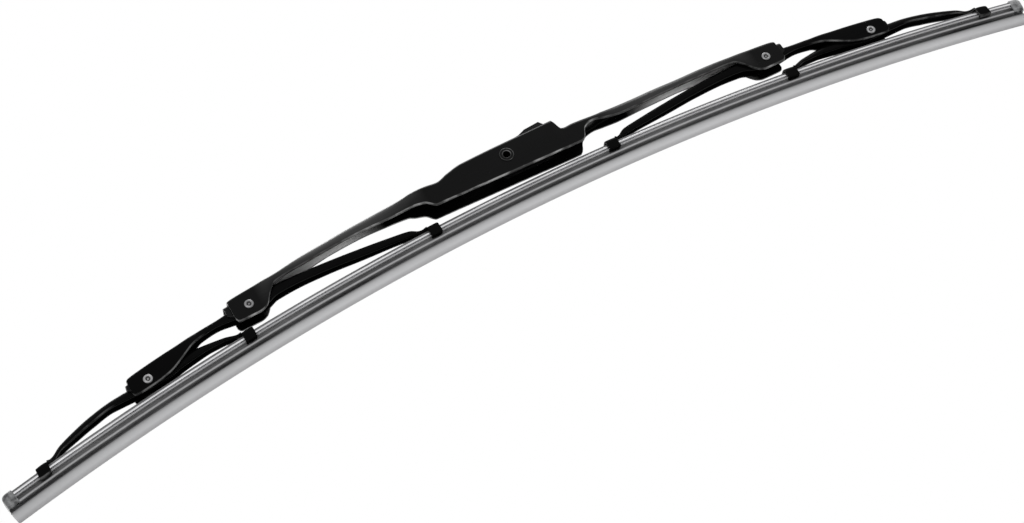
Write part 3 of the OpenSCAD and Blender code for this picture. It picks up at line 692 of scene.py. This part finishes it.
def makeLevers():
    x, z, o, w = pivots["innerRivet"], zInner, pivots["outerRivet"], zOuter
    loose = rivets["shank"] + rivets["play"]
    for side, sign in bothSides:
        inner = channelMesh("inner", leverRows, innerLever["thickness"], innerLever["highlightAndWearShare"], side == "left")
        inner = cutMesh(inner, [barMesh(sign * x, z, loose), barMesh(sign * o, w, rivets["shank"])])
        piece = addPiece("inner_lever_sheet_" + side, inner, materials["leverPaint"], 32)
        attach(piece, "inner_lever_" + side)
        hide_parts("secondary_lever_" + side)
        outer = channelMesh("outer", archRows, outerLever["thickness"], outerLever["highlightAndWearShare"], side == "left",
                            rounded=True)
        outer = cutMesh(outer, [barMesh(sign * o, w, loose)])
        piece = addPiece("outer_lever_sheet_" + side, outer, materials["leverPaint"], 32)
        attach(piece, "outer_lever_" + side)
        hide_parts("tertiary_lever_" + side)


makeBridge()
makeLevers()
print("stage 4: bridge and levers made")

liners = {"thickness": 0.6, "inner": 3.8, "outer": 3.7, "out": 2.4, "highlightAndWearShare": ((0, 0.2), (1, 0.2))}


# Saddle from x0 to x1 just under the straight line between its sheet's top at x0 and at its end
def linerRows(rows, t, x0, x1, z, half):
    rows = np.array(rows, float)
    end, start = rows[-1], keyedRows(rows, np.array([x0]))[0, 1]
    made = []
    for i in range(5):
        x = x0 + (x1 - x0) * i / 4
        top = start + (end[2] - start) * (x - x0) / (end[0] - x0) - t - 0.1
        made.append([x, half, top, z - 0.6 if i == 4 else z - 2.6, 0])
    return made


def makeLiners():
    x, z, o, w = pivots["innerRivet"], zInner, pivots["outerRivet"], zOuter
    out = liners["out"]
    plans = (("inner", plateRows, bridge["thickness"], x - 6, bridge["plateEnd"] + out, z, x, "bridge"),
             ("outer", leverRows, innerLever["thickness"], o - 6, innerLever["plateEnd"] + out / 2, w, o,
              "inner_lever"))
    for kind, rows, t, x0, x1, height, at, body in plans:
        for side, sign in bothSides:
            mesh = channelMesh(kind, linerRows(rows, t, x0, x1, height, liners[kind]), liners["thickness"],
                               liners["highlightAndWearShare"], side == "left")
            mesh = cutMesh(mesh, [barMesh(sign * at, height, rivets["shank"])])
            piece = addPiece(kind + "_saddle_" + side, mesh, materials["linerPlastic"], 32)
            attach(piece, body if body == "bridge" else body + "_" + side)
            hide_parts(kind + "_liner_" + side)


# Turned piece across the blade: each profile point (radius, y, mark) of the near side and its
# mirror on the far side sweeps a circle about (x, z)
def turnedMesh(name, x, z, near, faces=48):
    a = np.linspace(0, 2 * math.pi, faces, endpoint=False)[:, None]
    r, y, worn = np.array(near + [(q, -y, w) for q, y, w in near[::-1]], float).T
    rings = np.stack([x + r * np.cos(a), np.broadcast_to(y, (faces, len(y))), z + r * np.sin(a)], -1)
    return ringMesh(name, rings, loop=True, worn=worn)


# Rolled head: a torus-like ring around a dimple, r = ring + roll (cos a), y = face + roll (sin a)
def rivetProfile(half):
    h, r = rivets["high"], rivets["head"]
    return [(0.02, half + 0.45 * h, 1), (0.1 * r, half + 0.42 * h, 1), (0.2 * r, half + 0.3 * h, 0.1),
            (0.36 * r, half + 0.3 * h, 0), (0.46 * r, half + 0.6 * h, 0.2), (0.54 * r, half + 0.9 * h, 0.9),
            (0.64 * r, half + h, 1), (0.76 * r, half + h, 1), (0.88 * r, half + 0.86 * h, 0.8),
            (0.96 * r, half + 0.6 * h, 0.3), (r, half + 0.3 * h, 0.1), (r, half, 0),
            (rivets["shank"], half, 0)]


crossPin = {"bore": 1.6, "rim": 3.2, "rimHigh": 0.6, "faces": 64}


# Tube with a rolled rim on both walls of the hub; its marks lighten the rim's rolled edges, partly worn and
# partly a painted highlight
def pinProfile():
    b, r, h, e = crossPin["bore"], crossPin["rim"], bridge["hubHalf"], crossPin["rimHigh"]
    return [(b, h + e - 0.3, 0), (b + 0.18, h + e - 0.08, 0.6), (b + 0.5, h + e, 0), (r - 0.4, h + e, 0),
            (r - 0.14, h + e - 0.06, 1), (r, h + e - 0.3, 0.2), (r, h, 0), (bridge["pin"], h, 0)]


def makeTurned():
    plans = (("inner", pivots["innerRivet"], zInner, bridge["plateHalf"], "bridge"),
             ("outer", pivots["outerRivet"], zOuter, innerLever["plateHalf"], "inner_lever"))
    for kind, x, z, half, body in plans:
        for side, sign in bothSides:
            mesh = turnedMesh(kind, sign * x, z, rivetProfile(half))
            piece = addPiece(kind + "_rivet_turned_" + side, mesh, materials["rivetSteel"], 50)
            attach(piece, body if body == "bridge" else body + "_" + side)
            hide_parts(kind + "_rivet_" + side)
    mesh = turnedMesh("pin", 0, 0, pinProfile(), crossPin["faces"])
    piece = addPiece("cross_pin_turned", mesh, materials["blackSteel"], 50)
    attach(piece, "bridge")
    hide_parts("cross_pin")


makeLiners()
makeTurned()
print("stage 5: liners, rivets and cross pin made")

# Heights are over the strips' middle
section = {"headTop": 1.9, "headHalf": 2.4, "webHalf": 1.0, "slot": 0.5, "ribLow": -1.2, "grooveHalf": 1.2,
           "grooveLow": -3.1, "shoulder": 3.0, "shoulderLow": -4.3, "hinge": 0.5, "hingeLow": -5.1,
           "wedge": 2.0, "lip": -10.3, "edge": 0.35, "stopX": 245}
strip = {"inner": 1.05, "outer": 3.45, "half": 0.45, "round": 0.14, "gap": 0.05}


# Half outline of the rubber from its top to the wiping edge, as (height, half width); past the
# stops only the part under the shoulder goes on
def rubberOutline(full):
    top, head, slot, web = section["headTop"], section["headHalf"], section["slot"], section["webHalf"]
    rib, neck, neckLow = section["ribLow"], section["grooveHalf"], section["grooveLow"]
    wide, wideLow, thin, thinLow = (section[key] for key in ("shoulder", "shoulderLow", "hinge", "hingeLow"))
    wedge, edge, lip = section["wedge"], section["edge"], section["lip"]
    upper = [(top, 0.0), (top, head - 0.5), (top - 0.06, head - 0.3), (top - 0.26, head - 0.05),
             (top - 0.45, head), (slot + 0.08, head), (slot, head - 0.08), (slot, web), (-slot, web),
             (-slot, head - 0.15), (-slot - 0.1, head - 0.1), (rib + 0.12, head - 0.12), (rib, head - 0.26),
             (rib, neck + 0.12), (rib - 0.12, neck), (neckLow + 0.2, neck), (neckLow, neck + 0.2),
             (neckLow, wide - 0.55), (neckLow - 0.1, wide - 0.25), (neckLow - 0.32, wide - 0.04),
             (neckLow - 0.55, wide), (wideLow + 0.25, wide), (wideLow + 0.06, wide - 0.08),
             (wideLow, wide - 0.3), (wideLow, thin + 0.25)]
    lower = [(wideLow - 0.2, thin + 0.03), (thinLow + 0.15, thin), (thinLow - 0.05, thin + 0.2),
             (thinLow - 0.42, wedge - 0.3), (thinLow - 0.62, wedge - 0.04), (thinLow - 0.85, wedge),
             (thinLow - 1.2, wedge - 0.04), (thinLow - 3.2, wedge * 0.6 + edge * 0.4 - 0.12),
             (lip + 0.3, edge + 0.02), (lip, edge), (lip, 0.0)]
    return upper + lower if full else [(wideLow - 0.02, 0.0), (wideLow - 0.02, thin)] + lower


# Runs of a section along the bow: x = (R + h) sin q, z = (R + h) cos q - R - pin height
def bowedMesh(name, x0, x1, outline, step=2.0, deep=False, mirror=True):
    half = np.array(outline, float)
    loop = np.vstack([half, half[-2:0:-1] * (1, -1)]) if mirror else half
    q = np.arcsin(np.linspace(x0, x1, int(abs(x1 - x0) / step) + 2) / blade["bowRadius"])
    radius = blade["bowRadius"] + loop[None, :, 0]
    rings = np.stack([radius * np.sin(q)[:, None], np.broadcast_to(loop[None, :, 1], (len(q), len(loop))),
                      radius * np.cos(q)[:, None] - blade["bowRadius"] - blade["pinHeight"]], -1)
    return ringMesh(name, rings, deep=(section["headTop"] - loop[:, 0]) / rubber["depth"] if deep else None)


# Outline of a strip as a rectangle, each corner turned in three points of r (sin a, cos a)
def stripOutline(side):
    a, b, h, r = strip["inner"], strip["outer"], strip["half"], strip["round"]
    points = []
    for z, y, start in ((h, a, math.pi), (h, b, math.pi / 2), (-h, b, 0), (-h, a, -math.pi / 2)):
        cz, cy = z - math.copysign(r, z), y - (r if y == b else -r)
        for k in range(3):
            angle = start - k * math.pi / 4
            points.append((cz + r * math.sin(angle), cy + r * math.cos(angle)))
    return [(z, side * y) for z, y in points][::side]


bends = {"clawIn": 3, "middle": 6}


# Each run is its name, x from, x to, its body or the two bodies that it spans, and the places where that span
# starts and ends; a run over two bodies is left in place and hung on neither
def runPlan(end):
    a, b, c = pivots["innerIn"], pivots["outerIn"], bends["clawIn"]
    plan = []
    for side, sign in bothSides:
        inner, outer = "inner_lever_" + side, "outer_lever_" + side
        middle, root = (sign * (a + c), sign * (b - c)), (sign * bends["middle"], sign * (a - c))
        plan.append((side + "_outer", sign * b, sign * end, (outer,), None))
        plan.append((side + "_mid", sign * a, sign * b, (inner, outer), middle))
        plan.append((side + "_root", 0, sign * a, ("bridge", inner), root))
    return plan


def placeRun(piece, bodies, span, replaced):
    if span is None:
        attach(piece, bodies[0])
    else:
        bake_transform(piece)
    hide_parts(*replaced)


def makeRubber():
    runs = [(name, x0, x1, bodies, span, True) for name, x0, x1, bodies, span in runPlan(section["stopX"])]
    runs += [("end_" + side, sign * section["stopX"], sign * blade["halfLength"], ("outer_lever_" + side,),
              None, False) for side, sign in bothSides]
    for name, x0, x1, bodies, span, full in runs:
        mesh = bowedMesh("squeegee_" + name, min(x0, x1), max(x0, x1), rubberOutline(full), deep=True)
        piece = addPiece("squeegee_" + name, mesh, materials["rubber"], 30)
        placeRun(piece, bodies, span, ["squeegee"])


def makeStrips():
    for label, side in (("near", -1), ("far", 1)):
        for name, x0, x1, bodies, span in runPlan(section["stopX"] - strip["gap"]):
            mesh = bowedMesh("strip_" + name, min(x0, x1), max(x0, x1), stripOutline(side), 4, mirror=False)
            piece = addPiece("strip_" + label + "_" + name, mesh, materials["stripSteel"], 50)
            placeRun(piece, bodies, span, ["spring_strip_" + label])


stops = {"length": 5, "over": 0.3, "round": 2.4, "bevel": 0.9, "drawn": 0.5}


# Stop's section at each station up to the blade's end: its top falls along a quarter round,
# top(x) = top - r + sqrt(r^2 - (x - end + r)^2), and its sides draw in over the last part
def stopMesh(name, sign):
    end, r, b, d = blade["halfLength"], stops["round"], stops["bevel"], stops["drawn"]
    x = end - np.array([stops["length"], 3.6, r, 1.5, 1.0, 0.6, 0.3, 0.1, 0])
    fall = np.maximum(0, x - end + r)
    top = section["headTop"] + stops["over"] - r + np.sqrt(r * r - fall ** 2)
    half = strip["outer"] - d * (1 - np.sqrt(1 - np.clip((x - end + d) / d, 0, 1) ** 2))
    low, foot = section["grooveLow"] + 0 * x, section["shoulderLow"] + 0.01 + 0 * x
    shoulder = half * section["shoulder"] / strip["outer"]
    wall = [(top, 0 * x), (top, half - b), (top - 0.12 * b, half - 0.5 * b), (top - 0.5 * b, half - 0.12 * b),
            (top - b, half), (low + 0.2, half), (low - 0.2, half - 0.08), (foot + 0.2, shoulder + 0.05),
            (foot, shoulder - 0.15), (foot, 0 * x)]
    loop = wall + [(z, -y) for z, y in wall[-2:0:-1]]
    z, y = (np.stack([pair[k] for pair in loop], 1) for k in (0, 1))
    q = np.arcsin(x / blade["bowRadius"])[:, None]
    radius = blade["bowRadius"] + z
    height = radius * np.cos(q) - blade["bowRadius"] - blade["pinHeight"]
    rings = np.stack([sign * radius * np.sin(q), y, height], -1)
    return ringMesh(name, rings if sign > 0 else rings[::-1])


def makeStops():
    for side, sign in bothSides:
        piece = addPiece("stop_moulded_" + side, stopMesh("stop_" + side, sign), materials["stop"], 35)
        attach(piece, "outer_lever_" + side)
        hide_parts("end_stop_" + side)


makeRubber()
makeStrips()
makeStops()
print("stage 6: squeegee, strips and stops made")

# CAD nodes that stay get their finish
kept = {"arm_adapter": "adapterPlastic"}
for name, finish in kept.items():
    nodes[name].data.materials.clear()
    nodes[name].data.materials.append(materials[finish])
print("stage 7: kept nodes finished")
